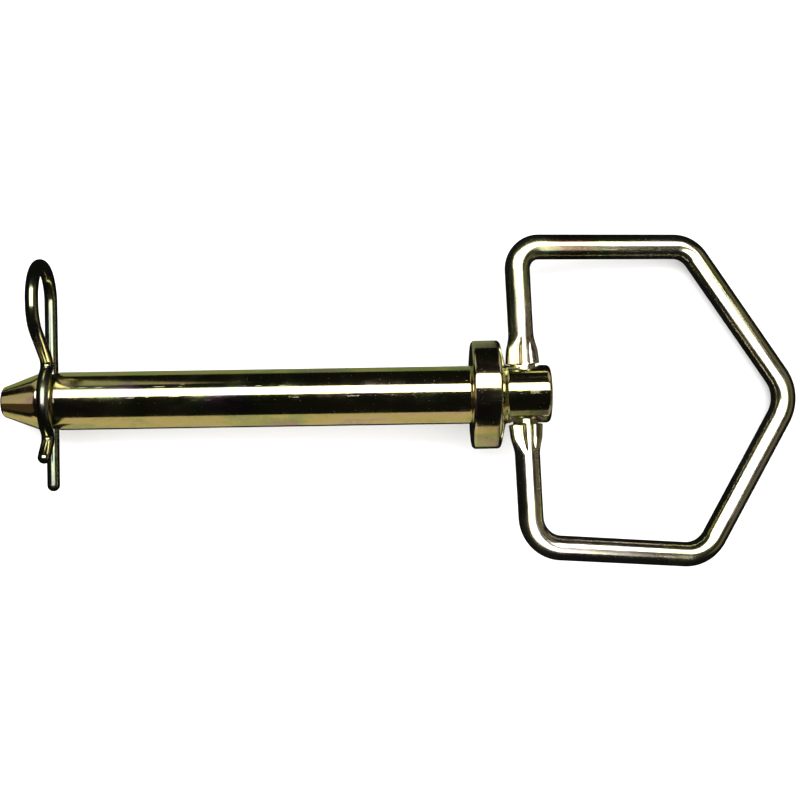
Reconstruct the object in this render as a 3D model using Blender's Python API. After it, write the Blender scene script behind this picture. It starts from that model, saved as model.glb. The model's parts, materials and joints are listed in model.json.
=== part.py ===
"""Swivel-handle hitch pin with a hairpin clip.

A forged pin has a tapered tip, a plain shank, a collar and a short head stub.  A handle
bent from one round wire turns in a hole drilled across the stub, and a hairpin clip of
spring wire goes through a second hole near the tip.  The clip is one wire, divided where
its loop begins into two nodes, so that its spring leg can open away from the straight leg.

Pin frame: X runs along the pin, 0 at the collar's seat face, tip at -X and head at +X.
Y runs along both cross holes, and Z is up.  The empty pin_frame carries everything.  It is
turned and placed so that the whole object lies as it comes to rest on a table: on the
collar's rim, on the shank's end beside the taper and on the drooping handle, with its box
standing on Z = 0, centred on X = 0 and Y = 0.
"""

from math import atan2, ceil, cos, pi, radians, sin, sqrt, tan

import bmesh
import bpy
from mathutils import Matrix, Vector

MM = 0.001
INCH = 0.0254

# Running and fitting clearances
FACE_GAP = 0.3 * MM              # between two pieces that touch on the real object
CLIP_HOLE_CLEARANCE = 1.2 * MM   # hole diameter over clip wire diameter
BORE_CLEARANCE = 0.8 * MM        # cross bore diameter over handle wire diameter
EAR_CLEARANCE = 0.45 * MM        # cone behind the collar to the ears that turn beside it

# Pin
SHANK_DIAMETER = 0.5 * INCH
GRIP_LENGTH = 3.625 * INCH       # collar seat to the middle of the clip hole
TIP_BEYOND_HOLE = 10.7 * MM      # middle of the clip hole to the tip face
TAPER_LENGTH = 8.5 * MM
TIP_FACE_DIAMETER = 6.4 * MM
TIP_EDGE_RADIUS = 0.9 * MM
TAPER_BLEND_RADIUS = 5.0 * MM
COLLAR_DIAMETER = 0.9375 * INCH
COLLAR_THICKNESS = 6.2 * MM
COLLAR_EDGE_RADIUS = 0.9 * MM
COLLAR_BACK_RISE = 1.3 * MM      # how far the cone behind the collar runs along X
SEAT_FILLET_RADIUS = 0.5 * MM
BACK_FILLET_RADIUS = 0.8 * MM
STUB_DIAMETER = 0.5 * INCH
STUB_BEYOND_BORE = 5.7 * MM      # middle of the cross bore to the head end
STUB_EDGE_RADIUS = 1.0 * MM

# Handle, in its own plane: reach runs away from the bore, and width along the bore
HANDLE_WIRE_DIAMETER = 0.21875 * INCH
HANDLE_REACH = 64.0 * MM          # bore to the apex corner of the wire's centre line
HANDLE_ROOT_WIDTH = 66.0 * MM     # between the two legs' outer corners
HANDLE_SHOULDER_REACH = 40.5 * MM
HANDLE_SHOULDER_WIDTH = 70.1 * MM
HANDLE_ROOT_OFFSET = -0.6 * MM    # the bent wire is a little out of true
HANDLE_FAR_OFFSET = -3.75 * MM
HANDLE_COCK = radians(2.3)        # how far the handle leans in its loose bore
HANDLE_BUTT_GAP = 0.8 * MM        # between the wire's two ends inside the bore
ROOT_BEND_RADII = (5.0 * MM, 7.3 * MM)
SHOULDER_BEND_RADII = (6.8 * MM, 7.8 * MM)
APEX_BEND_RADIUS = 8.6 * MM

# Rest on a table: the pin rolls until a shoulder of its handle is down as well
RESTING_ROLL = radians(-5.2)

# Pinched ears that keep the handle's ends in the bore
EAR_LENGTH = 6.1 * MM
EAR_WIDTH = 7.5 * MM
EAR_OUTER_WIDTH = 6.0 * MM        # at the end away from the stub
EAR_THICKNESS = 3.3 * MM
EAR_SHOULDER = 0.5 * MM           # length of the step from the round end to the ear

# Hairpin clip, in a plane across the pin: along Y, and up Z from the straight leg
CLIP_WIRE_DIAMETER = 0.109375 * INCH
CLIP_LEG_BEYOND_PIN = 19.8 * MM   # pin's axis to the straight leg's rounded end
CLIP_LOOP_RADIUS = 7.6 * MM
CLIP_LOOP_HEIGHT = 29.1 * MM      # pin's axis to the top of the loop's centre line
CLIP_RETURN_SLOPE = radians(54.5) # how steeply the wire comes back from the loop
CLIP_THROAT_RADIUS = 2.0 * MM
CLIP_HUG_ANGLE = radians(104.0)   # how much of the shank the spring leg's hump covers
CLIP_FLARE_SLOPE = radians(45.0)
CLIP_FLARE_LENGTH = 7.4 * MM
CLIP_SPLIT_TURN = radians(43.6)   # how far round the loop the wire is divided

# Facets
TURNED_SEGMENTS = 56
BORE_SEGMENTS = 28
HANDLE_SIDES = 16
CLIP_SIDES = 12
TURN_PER_STEP = radians(14.0)
SMOOTH_BELOW = radians(32.0)

# Sizes that follow from the ones above
SHANK_RADIUS = SHANK_DIAMETER / 2
STUB_RADIUS = STUB_DIAMETER / 2
COLLAR_RADIUS = COLLAR_DIAMETER / 2
HANDLE_WIRE_RADIUS = HANDLE_WIRE_DIAMETER / 2
CLIP_WIRE_RADIUS = CLIP_WIRE_DIAMETER / 2
TIP_END_X = -(GRIP_LENGTH + TIP_BEYOND_HOLE)
BORE_X = COLLAR_THICKNESS + COLLAR_BACK_RISE + EAR_CLEARANCE + EAR_WIDTH / 2
HEAD_END_X = BORE_X + STUB_BEYOND_BORE
RESTING_PITCH = atan2(COLLAR_RADIUS - SHANK_RADIUS, -TIP_END_X - TAPER_LENGTH + COLLAR_EDGE_RADIUS)
EAR_START = (STUB_RADIUS + FACE_GAP + EAR_WIDTH / 2 * sin(HANDLE_COCK)) / cos(HANDLE_COCK)
HUG_RADIUS = SHANK_RADIUS + FACE_GAP + CLIP_WIRE_RADIUS


def clear_scene():
    """Remove every object that the file starts with."""
    for thing in list(bpy.data.objects):
        bpy.data.objects.remove(thing, do_unlink=True)


def plated_steel(name, colour, roughness):
    """Yellow zinc plated steel."""
    material = bpy.data.materials.new(name)
    material.use_nodes = True
    shader = material.node_tree.nodes["Principled BSDF"]
    shader.inputs["Base Color"].default_value = (*colour, 1.0)
    shader.inputs["Roughness"].default_value = roughness
    shader.inputs["Metallic"].default_value = 1.0
    return material


def add_empty(name, parent, matrix):
    """An empty that carries a frame or a joint's axis."""
    empty = bpy.data.objects.new(name, None)
    empty.empty_display_size = 0.01
    bpy.context.scene.collection.objects.link(empty)
    empty.parent = parent
    empty.matrix_basis = matrix
    return empty


def add_object(name, shape, parent, material=None):
    """A named object from a bmesh, shaded smooth except at sharp edges."""
    bmesh.ops.recalc_face_normals(shape, faces=shape.faces)
    mesh = bpy.data.meshes.new(name)
    shape.to_mesh(mesh)
    shape.free()
    mesh.shade_smooth()
    mesh.set_sharp_from_angle(angle=SMOOTH_BELOW)
    if material:
        mesh.materials.append(material)
    thing = bpy.data.objects.new(name, mesh)
    bpy.context.scene.collection.objects.link(thing)
    thing.parent = parent
    return thing


def rounded_path(corners, radii):
    """Points of a flat path: straight runs, with an arc of its own radius at each inner corner."""
    corners = [Vector(corner) for corner in corners]
    points = [corners[0]]
    for before, corner, after, radius in zip(corners, corners[1:], corners[2:], radii):
        towards = (corner - before).normalized()
        onwards = (after - corner).normalized()
        turn = atan2(towards.x * onwards.y - towards.y * onwards.x, towards.dot(onwards))
        inward = Vector((-towards.y, towards.x)) * (radius if turn > 0 else -radius)
        start = corner - towards * radius * tan(abs(turn) / 2)
        steps = max(1, ceil(abs(turn) / TURN_PER_STEP))
        for step in range(steps + 1):
            spoke = Matrix.Rotation(turn * step / steps, 2) @ -inward
            points.append(start + inward + spoke)
    points.append(corners[-1])
    return points


def path_lengths(points):
    """Distance along the path to each of its points."""
    lengths = [0.0]
    for here, there in zip(points, points[1:]):
        lengths.append(lengths[-1] + (there - here).length)
    return lengths


def stretch(points, start, end, stations=()):
    """The part of a path between two distances along it, with extra points at the stations."""
    lengths = path_lengths(points)
    inner = [length for length in (*lengths, *stations) if start < length < end]
    wanted = sorted({start, end, *inner})
    kept, index = [], 0
    for distance in wanted:
        while lengths[index + 1] < distance and index < len(points) - 2:
            index += 1
        share = (distance - lengths[index]) / (lengths[index + 1] - lengths[index])
        kept.append((distance, points[index].lerp(points[index + 1], share)))
    return [pair for i, pair in enumerate(kept) if i == 0 or pair[0] - kept[i - 1][0] > 1e-6]


def turned_shape(outline, segments):
    """A solid of revolution about X from an outline of (x, radius) points."""
    shape = bmesh.new()
    rings = []
    for x, radius in outline:
        angles = [2 * pi * k / segments for k in range(segments)]
        rings.append([shape.verts.new((x, radius * sin(a), radius * cos(a))) for a in angles])
    close_rings(shape, rings)
    return shape


def close_rings(shape, rings):
    """Join each ring of vertices to the next, and cap both ends."""
    for ring, following in zip(rings, rings[1:]):
        for k in range(len(ring)):
            after = (k + 1) % len(ring)
            shape.faces.new((ring[k], ring[after], following[after], following[k]))
    shape.faces.new(reversed(rings[0]))
    shape.faces.new(rings[-1])


def wire_shape(stations, half_sizes, place, sides):
    """A wire along a flat path.

    stations are (distance, point) pairs, half_sizes(distance) gives the section's half
    width in the path's plane and its half thickness across it, and place(x, y, out) puts
    a point of that plane, at a height out of it, into the object's own axes.
    """
    shape = bmesh.new()
    points = [point for _, point in stations]
    rings = []
    for i, (distance, point) in enumerate(stations):
        ahead = points[min(i + 1, len(points) - 1)]
        behind = points[max(i - 1, 0)]
        if 0 < i < len(points) - 1:
            along = (ahead - point).normalized() + (point - behind).normalized()
        else:
            along = ahead - behind
        across = Vector((along.y, -along.x)).normalized()
        half_width, half_thickness = half_sizes(distance)
        ring = []
        for k in range(sides):
            angle = 2 * pi * k / sides
            at = point + across * half_width * cos(angle)
            ring.append(shape.verts.new(place(at.x, at.y, half_thickness * sin(angle))))
        rings.append(ring)
    close_rings(shape, rings)
    return shape


def drill(body, name, diameter, x):
    """Cut a hole through the body along Y with a hidden cutter."""
    shape = bmesh.new()
    bmesh.ops.create_cone(
        shape, cap_ends=True, segments=BORE_SEGMENTS, radius1=diameter / 2,
        radius2=diameter / 2, depth=4 * SHANK_DIAMETER,
        matrix=Matrix.Translation((x, 0, 0)) @ Matrix.Rotation(pi / 2, 4, "X"),
    )
    cutter = add_object(name, shape, body.parent)
    cutter.hide_render = True
    cutter.display_type = "WIRE"
    cut = body.modifiers.new(name, "BOOLEAN")
    cut.operation = "DIFFERENCE"
    cut.solver = "EXACT"
    cut.object = cutter


def make_pin(pin_frame, material):
    """The forged pin, turned about X, with its two cross holes."""
    taper_start_x = TIP_END_X + TAPER_LENGTH
    corners = [
        (TIP_END_X, 0),
        (TIP_END_X, TIP_FACE_DIAMETER / 2),
        (taper_start_x, SHANK_RADIUS),
        (0, SHANK_RADIUS),
        (0, COLLAR_RADIUS),
        (COLLAR_THICKNESS, COLLAR_RADIUS),
        (COLLAR_THICKNESS + COLLAR_BACK_RISE, STUB_RADIUS),
        (HEAD_END_X, STUB_RADIUS),
        (HEAD_END_X, 0),
    ]
    radii = [
        TIP_EDGE_RADIUS, TAPER_BLEND_RADIUS, SEAT_FILLET_RADIUS, COLLAR_EDGE_RADIUS,
        COLLAR_EDGE_RADIUS, BACK_FILLET_RADIUS, STUB_EDGE_RADIUS,
    ]
    outline = rounded_path(corners, radii)[1:-1]
    pin = add_object("hitch_pin", turned_shape(outline, TURNED_SEGMENTS), pin_frame, material)
    drill(pin, "handle_bore_cutter", HANDLE_WIRE_DIAMETER + BORE_CLEARANCE, BORE_X)
    drill(pin, "clip_hole_cutter", CLIP_WIRE_DIAMETER + CLIP_HOLE_CLEARANCE, -GRIP_LENGTH)
    return pin


def ear_half_sizes(from_bore):
    """The handle wire's half width and half thickness, by distance from the bore's middle."""
    round_wire = (HANDLE_WIRE_RADIUS, HANDLE_WIRE_RADIUS)
    along = (from_bore - EAR_START) / EAR_LENGTH
    if along <= 0 or along >= 1:
        return round_wire
    flare = EAR_WIDTH / 2 + (EAR_OUTER_WIDTH / 2 - EAR_WIDTH / 2) * along
    ease_in = min(1.0, along * EAR_LENGTH / EAR_SHOULDER)
    ease_out = min(1.0, (1 - along) / 0.3)
    pinched = ease_in * ease_out * ease_out * (3 - 2 * ease_out)
    half_width = HANDLE_WIRE_RADIUS + (flare - HANDLE_WIRE_RADIUS) * pinched
    half_thickness = HANDLE_WIRE_RADIUS + (EAR_THICKNESS / 2 - HANDLE_WIRE_RADIUS) * pinched
    return half_width, half_thickness


def handle_centre_line():
    """The handle's centre line as (reach, along the bore) points, from one wire end to the other."""
    half_root, half_shoulder = HANDLE_ROOT_WIDTH / 2, HANDLE_SHOULDER_WIDTH / 2
    corners = [
        (0, HANDLE_BUTT_GAP / 2),
        (0, HANDLE_ROOT_OFFSET + half_root),
        (HANDLE_SHOULDER_REACH, HANDLE_FAR_OFFSET + half_shoulder),
        (HANDLE_REACH, HANDLE_FAR_OFFSET),
        (HANDLE_SHOULDER_REACH, HANDLE_FAR_OFFSET - half_shoulder),
        (0, HANDLE_ROOT_OFFSET - half_root),
        (0, -HANDLE_BUTT_GAP / 2),
    ]
    radii = [
        ROOT_BEND_RADII[0], SHOULDER_BEND_RADII[0], APEX_BEND_RADIUS,
        SHOULDER_BEND_RADII[1], ROOT_BEND_RADII[1],
    ]
    return rounded_path(corners, radii)


def resting_turn():
    """How the pin lies on a table: its tip pitched down, and rolled towards one shoulder."""
    return Matrix.Rotation(-RESTING_PITCH, 4, "Y") @ Matrix.Rotation(RESTING_ROLL, 4, "X")


def handle_matrix(droop):
    """The handle's own axes in the pin frame: cocked in its bore, and swung down by droop."""
    cocked = Matrix.Translation((BORE_X, 0, 0)) @ Matrix.Rotation(HANDLE_COCK, 4, "Z")
    return cocked @ Matrix.Rotation(droop, 4, "Y")


def resting_droop():
    """How far the handle swings down before its wire meets the table, found by halving."""
    up = resting_turn().to_3x3().transposed() @ Vector((0, 0, 1))
    collar_low = COLLAR_EDGE_RADIUS * up.x - COLLAR_RADIUS * sqrt(1 - up.x**2)
    centre_line = [point.to_3d() for point in handle_centre_line()]

    def wire_low(droop):
        place = handle_matrix(droop)
        return min(up.dot(place @ point) for point in centre_line) - HANDLE_WIRE_RADIUS

    level, steep = 0.0, radians(60.0)
    for _ in range(40):
        middle = (level + steep) / 2
        if wire_low(middle) > collar_low:
            level = middle
        else:
            steep = middle
    return level


def make_handle(handle_axis, material):
    """The handle: one wire whose ends meet in the bore, with an ear pinched beside each."""
    points = handle_centre_line()
    total = path_lengths(points)[-1]
    ear_shares = (0, EAR_SHOULDER / EAR_LENGTH, 0.3, 0.55, 0.7, 0.8, 0.9, 1)
    near = [EAR_START + EAR_LENGTH * share - HANDLE_BUTT_GAP / 2 for share in ear_shares]
    far = [total - distance for distance in near]

    def half_sizes(distance):
        return ear_half_sizes(min(distance, total - distance) + HANDLE_BUTT_GAP / 2)

    shape = wire_shape(
        stretch(points, 0, total, (*near, *far)), half_sizes,
        lambda x, y, out: (x, y, out), HANDLE_SIDES,
    )
    return add_object("swivel_handle", shape, handle_axis, material)


def clip_centre_line():
    """The clip's whole centre line as (along Y, up Z) points, and where its loop begins."""
    far_side = 2 * CLIP_LOOP_RADIUS
    half_hug = CLIP_HUG_ANGLE / 2
    hug_end = Vector((sin(half_hug), cos(half_hug))) * HUG_RADIUS
    downhill = Vector((cos(half_hug), -sin(half_hug)))
    throat_turn = half_hug + CLIP_RETURN_SLOPE
    flare_turn = half_hug + CLIP_FLARE_SLOPE
    throat = hug_end + downhill * CLIP_THROAT_RADIUS * tan(throat_turn / 2)
    lower = hug_end + downhill * CLIP_THROAT_RADIUS * tan(flare_turn / 2)
    lower.x = -lower.x
    run_back = (far_side - throat.y) / tan(CLIP_RETURN_SLOPE)
    flare = Vector((-cos(CLIP_FLARE_SLOPE), sin(CLIP_FLARE_SLOPE)))
    corners = [
        (-CLIP_LEG_BEYOND_PIN, 0),
        (CLIP_LOOP_HEIGHT, 0),
        (CLIP_LOOP_HEIGHT, far_side),
        (throat.x + run_back, far_side),
        throat,
        (0, HUG_RADIUS / cos(half_hug)),
        lower,
        lower + flare * CLIP_FLARE_LENGTH,
    ]
    radii = [
        CLIP_LOOP_RADIUS, CLIP_LOOP_RADIUS, CLIP_LOOP_RADIUS,
        CLIP_THROAT_RADIUS, HUG_RADIUS, CLIP_THROAT_RADIUS,
    ]
    loop_start = CLIP_LEG_BEYOND_PIN + CLIP_LOOP_HEIGHT - CLIP_LOOP_RADIUS
    return rounded_path(corners, radii), loop_start


def clip_flex_point():
    """The middle of the clip's division, which the spring leg turns about: (along Y, up Z)."""
    middle_y = CLIP_LOOP_HEIGHT - CLIP_LOOP_RADIUS
    return Vector((
        middle_y + CLIP_LOOP_RADIUS * sin(CLIP_SPLIT_TURN),
        CLIP_LOOP_RADIUS * (1 - cos(CLIP_SPLIT_TURN)),
    ))


def rounded_end(distance):
    """The clip wire's radius at a distance from its rounded end."""
    depth = min(CLIP_WIRE_RADIUS, distance + 0.04 * CLIP_WIRE_RADIUS)
    return sqrt(CLIP_WIRE_RADIUS**2 - (CLIP_WIRE_RADIUS - depth) ** 2)


def make_clip_leg(name, start, end, end_is_round, origin, parent, material):
    """One of the clip's two nodes: the stretch of its wire between two distances."""
    points, _ = clip_centre_line()
    shares = (0.1, 0.3, 0.6, 1.0)
    round_end, inward = (end, -1) if end_is_round else (start, 1)
    tips = [round_end + inward * share * CLIP_WIRE_RADIUS for share in shares]

    def half_sizes(distance):
        radius = rounded_end(abs(distance - round_end))
        return radius, radius

    shape = wire_shape(
        stretch(points, start, end, tips), half_sizes,
        lambda y, z, out: (out, y - origin.x, z - origin.y), CLIP_SIDES,
    )
    return add_object(name, shape, parent, material)


def make_clip(clip_axis, material):
    """The hairpin clip: a straight leg, and a spring leg that opens about the division."""
    points, loop_start = clip_centre_line()
    total = path_lengths(points)[-1]
    split = loop_start + CLIP_LOOP_RADIUS * CLIP_SPLIT_TURN
    flex = clip_flex_point()
    flex_axis = add_empty("clip_flex_axis", clip_axis, Matrix.Translation((0, flex.x, flex.y)))
    hole = Vector((0, 0))
    leg_end, spring_start = split - FACE_GAP / 2, split + FACE_GAP / 2
    make_clip_leg("clip_straight_leg", 0, leg_end, False, hole, clip_axis, material)
    make_clip_leg("clip_spring_leg", spring_start, total, True, flex, flex_axis, material)


def stand_on_ground(pin_frame):
    """Move the whole object so that its box stands on Z = 0, centred in X and Y."""
    bpy.context.view_layer.update()
    graph = bpy.context.evaluated_depsgraph_get()
    corners = []
    for thing in bpy.context.scene.objects:
        if thing.type == "MESH" and not thing.hide_render:
            solid = thing.evaluated_get(graph)
            corners += [thing.matrix_world @ vertex.co for vertex in solid.data.vertices]
    low = [min(corner[axis] for corner in corners) for axis in range(3)]
    high = [max(corner[axis] for corner in corners) for axis in range(3)]
    middle = ((low[0] + high[0]) / 2, (low[1] + high[1]) / 2, low[2])
    pin_frame.location = -Vector(middle)
    bpy.context.view_layer.update()


def main():
    """Build the pin, its handle and its clip, and stand them on the ground."""
    clear_scene()
    pin_finish = plated_steel("pin_yellow_zinc", (0.42, 0.37, 0.22), 0.16)
    handle_finish = plated_steel("handle_yellow_zinc", (0.60, 0.56, 0.38), 0.20)
    clip_finish = plated_steel("clip_yellow_zinc", (0.36, 0.33, 0.24), 0.22)
    pin_frame = add_empty("pin_frame", None, resting_turn())
    handle_axis = add_empty("handle_axis", pin_frame, handle_matrix(resting_droop()))
    clip_axis = add_empty("clip_axis", pin_frame, Matrix.Translation((-GRIP_LENGTH, 0, 0)))
    make_pin(pin_frame, pin_finish)
    make_handle(handle_axis, handle_finish)
    make_clip(clip_axis, clip_finish)
    stand_on_ground(pin_frame)


main()
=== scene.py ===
"""The looks of a hitch pin: a turned pin, its swivelling wire handle and its hairpin clip.

All three pieces are steel under bright yellow zinc.  Each one is a surface worked out with
numpy in its own maker's axes, then placed by the frame: the pin by its two faces and the
clip's slide, the handle by its hinge, and the clip by the point where its spring leg opens.
"""

import json
import logging
from dataclasses import dataclass, field
from enum import Enum
from typing import Callable, Mapping, Sequence, Union

import bmesh
import bpy
import numpy as np
from mathutils import Matrix, Vector


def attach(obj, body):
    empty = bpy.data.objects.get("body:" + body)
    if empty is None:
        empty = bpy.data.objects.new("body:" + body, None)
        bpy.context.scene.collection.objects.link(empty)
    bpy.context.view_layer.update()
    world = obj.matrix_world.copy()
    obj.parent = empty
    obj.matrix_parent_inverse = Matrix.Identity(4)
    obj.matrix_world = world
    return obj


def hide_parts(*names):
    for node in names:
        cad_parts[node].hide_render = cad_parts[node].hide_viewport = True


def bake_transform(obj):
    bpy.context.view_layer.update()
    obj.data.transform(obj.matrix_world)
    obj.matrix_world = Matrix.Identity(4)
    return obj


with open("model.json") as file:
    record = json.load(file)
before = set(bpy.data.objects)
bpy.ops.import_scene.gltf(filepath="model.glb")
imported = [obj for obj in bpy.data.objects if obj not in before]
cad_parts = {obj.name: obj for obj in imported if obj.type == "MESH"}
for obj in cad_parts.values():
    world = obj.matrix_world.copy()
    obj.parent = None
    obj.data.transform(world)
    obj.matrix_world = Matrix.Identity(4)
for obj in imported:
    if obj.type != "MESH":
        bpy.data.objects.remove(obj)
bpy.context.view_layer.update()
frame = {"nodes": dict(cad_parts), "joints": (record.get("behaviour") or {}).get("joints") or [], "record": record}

LOG = logging.getLogger("hitch_pin")
MM = 0.001
STRAIGHT = "straight"   # attribute: where a point lies on the unbent stock, in millimetres
RUB = "rub"             # attribute: how much a point is rubbed in use, from 0 to 1
NEAR = 1e-6             # metres: stations of a line that are closer than this are one
WELD = 0.5e-6           # metres: points of a surface that are closer than this are one
WIRE_END_RUB = 0.2      # how much the flat end of a wire is rubbed

Colour = tuple[float, float, float]
Value = Union["Signal", float, Colour]


# -------------------------------- places


@dataclass(frozen=True)
class Axes:
    """A right-handed set of axes somewhere in the frame.

    Args:
        origin: Where the axes start, in metres.
        rows: Three unit vectors as rows: along, across and out.
    """

    origin: np.ndarray
    rows: np.ndarray

    def place(self, points: np.ndarray) -> np.ndarray:
        """Local points carried into the frame: origin plus each coordinate times its axis."""
        return self.origin + points @ self.rows

    def local(self, point: Sequence[float]) -> np.ndarray:
        """A point of the frame, seen from these axes."""
        return self.rows @ (np.array(point, float) - self.origin)


def unit(vector: Sequence[float]) -> np.ndarray:
    """The vector at length one."""
    vector = np.array(vector, float)
    return vector / np.linalg.norm(vector)


def right_handed(along: np.ndarray, across: np.ndarray) -> np.ndarray:
    """Make the rows of a right-handed frame.

    Args:
        along: The first row's direction.
        across: Roughly the second row's direction, which is made square to the first.

    Returns:
        Three unit vectors as rows: along, across, and their cross product.
    """
    along = unit(along)
    across = unit(across - along * (along @ across))
    return np.array([along, across, np.cross(along, across)])


def named(rows: Sequence[Mapping], name: str) -> Mapping:
    """The row of a list of the record that has this name."""
    return next(row for row in rows if row["name"] == name)


def pin_axes() -> Axes:
    """Find the pin: its two faces give its axis, and the clip's slide its cross holes.

    Returns:
        Axes with 0 on the collar's seat, along to the head and across along the holes.
    """
    mounts, joints = frame["record"]["mounts"], frame["joints"]
    head, seat = named(mounts, "head_end"), named(mounts, "collar_seat")
    rows = right_handed(unit(head["axis"]), unit(named(joints, "clip_pull_out")["axis"]))
    end = np.array(head["pos_m"])
    return Axes(end - rows[0] * (rows[0] @ (end - np.array(seat["pos_m"]))), rows)


def handle_axes() -> Axes:
    """Find the handle: its hinge gives its journals, and its mesh its reach.

    Returns:
        Axes with 0 in the middle of the bore, along its reach and across its journals.
    """
    hinge = named(frame["joints"], "handle_swing")
    mesh = frame["nodes"]["swivel_handle"].data
    points = np.empty(3 * len(mesh.vertices))
    mesh.vertices.foreach_get("co", points)
    origin, journal = np.array(hinge["pos_m"]), unit(hinge["axis"])
    lean = points.reshape(-1, 3).mean(axis=0) - origin
    reach = unit(lean - journal * (journal @ lean))
    return Axes(origin, np.array([reach, journal, np.cross(reach, journal)]))


# -------------------------------- lines and surfaces


@dataclass(frozen=True)
class BentLine:
    """A flat line of straight runs and arcs, finely sampled.

    Args:
        length: Distance along the line to each sample.
        point: The samples, as rows of two coordinates.
        heading: Direction of travel at each sample, in radians.
        bend: 1 within an arc and 0 on a straight run.
    """

    length: np.ndarray
    point: np.ndarray
    heading: np.ndarray
    bend: np.ndarray

    @staticmethod
    def through(
        corners: Sequence[Sequence[float]], radii: Sequence[float], step: float = 2.0
    ) -> "BentLine":
        """A line through corners, where each inner corner is rounded with its own radius.

        An arc starts radius times the tangent of half its turn before the corner, and its
        points are the first spoke turned in equal steps about the arc's centre.

        Args:
            corners: The line's corners.
            radii: One radius for each inner corner.
            step: Turn between samples of an arc, in degrees.

        Returns:
            The rounded line.
        """
        corners = np.array(corners, float)
        runs = np.diff(corners, axis=0)
        headings = np.unwrap(np.arctan2(runs[:, 1], runs[:, 0]))
        points, bearing, bend = [corners[:1]], [headings[:1]], [np.zeros(1)]
        for corner, before, after, radius in zip(corners[1:-1], headings, headings[1:], radii):
            turn = after - before
            side = np.sign(turn) * radius
            towards = np.array([np.cos(before), np.sin(before)])
            inward = np.array([-towards[1], towards[0]]) * side
            start = corner - towards * radius * np.tan(abs(turn) / 2)
            count = max(2, int(np.ceil(np.degrees(abs(turn)) / step)) + 1)
            swept = before + turn * np.linspace(0, 1, count)
            spokes = np.stack([np.sin(swept), -np.cos(swept)], axis=1) * side
            points.append(start + inward + spokes)
            bearing.append(swept)
            bend.append(np.ones(count))
        points.append(corners[-1:])
        bearing.append(headings[-1:])
        bend.append(np.zeros(1))
        point = np.concatenate(points)
        length = np.concatenate([[0], np.cumsum(np.linalg.norm(np.diff(point, axis=0), axis=1))])
        return BentLine(length, point, np.concatenate(bearing), np.concatenate(bend))

    @property
    def total(self) -> float:
        """The whole line's length."""
        return float(self.length[-1])

    def stations(self, spacing: float, extra: Sequence[float] = ()) -> np.ndarray:
        """Distances along the line: its own samples, even ones in between, and extra ones.

        Args:
            spacing: The most that two of the even ones are apart.
            extra: Distances that have to be among them.

        Returns:
            The distances in order, with no two nearer than NEAR, the extra ones apart.
        """
        even = np.linspace(0, self.total, int(np.ceil(self.total / spacing)) + 1)
        wanted = np.unique(np.concatenate([self.length, even, extra]).clip(0, self.total))
        kept = np.diff(wanted, prepend=-1) > NEAR
        kept |= np.isin(wanted, extra)
        return wanted[kept]

    def at(self, stations: np.ndarray) -> "BentLine":
        """Sample the line again, by straight interpolation.

        Args:
            stations: Distances along the line.

        Returns:
            The same line with one sample for each of them.
        """
        point = np.stack([np.interp(stations, self.length, c) for c in self.point.T], axis=1)
        heading = np.interp(stations, self.length, self.heading)
        return BentLine(stations, point, heading, np.interp(stations, self.length, self.bend))


def grid_faces(rows: int, columns: int) -> np.ndarray:
    """Corner numbers of the quads of a grid of points whose last column joins the first.

    Args:
        rows: How many rows of points there are.
        columns: How many points are in a row.

    Returns:
        Four numbers for each quad, where the points are numbered row by row.
    """
    row, column = np.meshgrid(np.arange(rows - 1), np.arange(columns), indexing="ij")
    after = (column + 1) % columns
    here, there = row * columns, (row + 1) * columns
    return np.stack([here + column, here + after, there + after, there + column], -1)


@dataclass
class Surface:
    """Patches of points and faces that are welded into one closed mesh."""

    points: list[np.ndarray] = field(default_factory=list)
    faces: list[np.ndarray] = field(default_factory=list)
    straight: list[np.ndarray] = field(default_factory=list)
    rub: list[np.ndarray] = field(default_factory=list)
    count: int = 0

    def add(
        self, points: np.ndarray, faces: np.ndarray, straight: np.ndarray, rub: np.ndarray
    ) -> None:
        """Add one patch.

        Args:
            points: The patch's points in the frame, in any grid shape.
            faces: Quads that number those points from 0.
            straight: Where each point lies on the unbent stock, in metres.
            rub: How much each point is rubbed, from 0 to 1.
        """
        self.points.append(points.reshape(-1, 3))
        self.faces.append(faces.reshape(-1, 4) + self.count)
        self.straight.append(straight.reshape(-1, 3) / MM)
        self.rub.append(np.broadcast_to(rub, points.shape[:-1]).reshape(-1))
        self.count += len(self.points[-1])

    def weld(self, name: str) -> bpy.types.Object:
        """Make the mesh object: patches welded, seams and poles closed, faces outwards.

        Args:
            name: The piece's name.

        Returns:
            The new object, at the origin.
        """
        mesh = bpy.data.meshes.new(name)
        mesh.from_pydata(
            np.concatenate(self.points).tolist(), [], np.concatenate(self.faces).tolist()
        )
        layer = mesh.attributes.new(STRAIGHT, "FLOAT_VECTOR", "POINT")
        layer.data.foreach_set("vector", np.concatenate(self.straight).ravel())
        layer = mesh.attributes.new(RUB, "FLOAT", "POINT")
        layer.data.foreach_set("value", np.concatenate(self.rub).ravel())
        work = bmesh.new()
        work.from_mesh(mesh)
        bmesh.ops.remove_doubles(work, verts=work.verts, dist=WELD)
        bmesh.ops.recalc_face_normals(work, faces=work.faces)
        work.to_mesh(mesh)
        work.free()
        mesh.shade_smooth()
        piece = bpy.data.objects.new(name, mesh)
        bpy.context.scene.collection.objects.link(piece)
        return piece


def swell(at: np.ndarray, centre: float, reach: float) -> np.ndarray:
    """A smooth hump: 1 at the centre, and the bell curve's fall over the reach."""
    return np.exp(-(((at - centre) / reach) ** 2))


def ease(at: np.ndarray) -> np.ndarray:
    """A smooth step from 0 to 1 as at goes from 0 to 1."""
    at = np.clip(at, 0, 1)
    return at * at * (3 - 2 * at)


# -------------------------------- shaders


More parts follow.
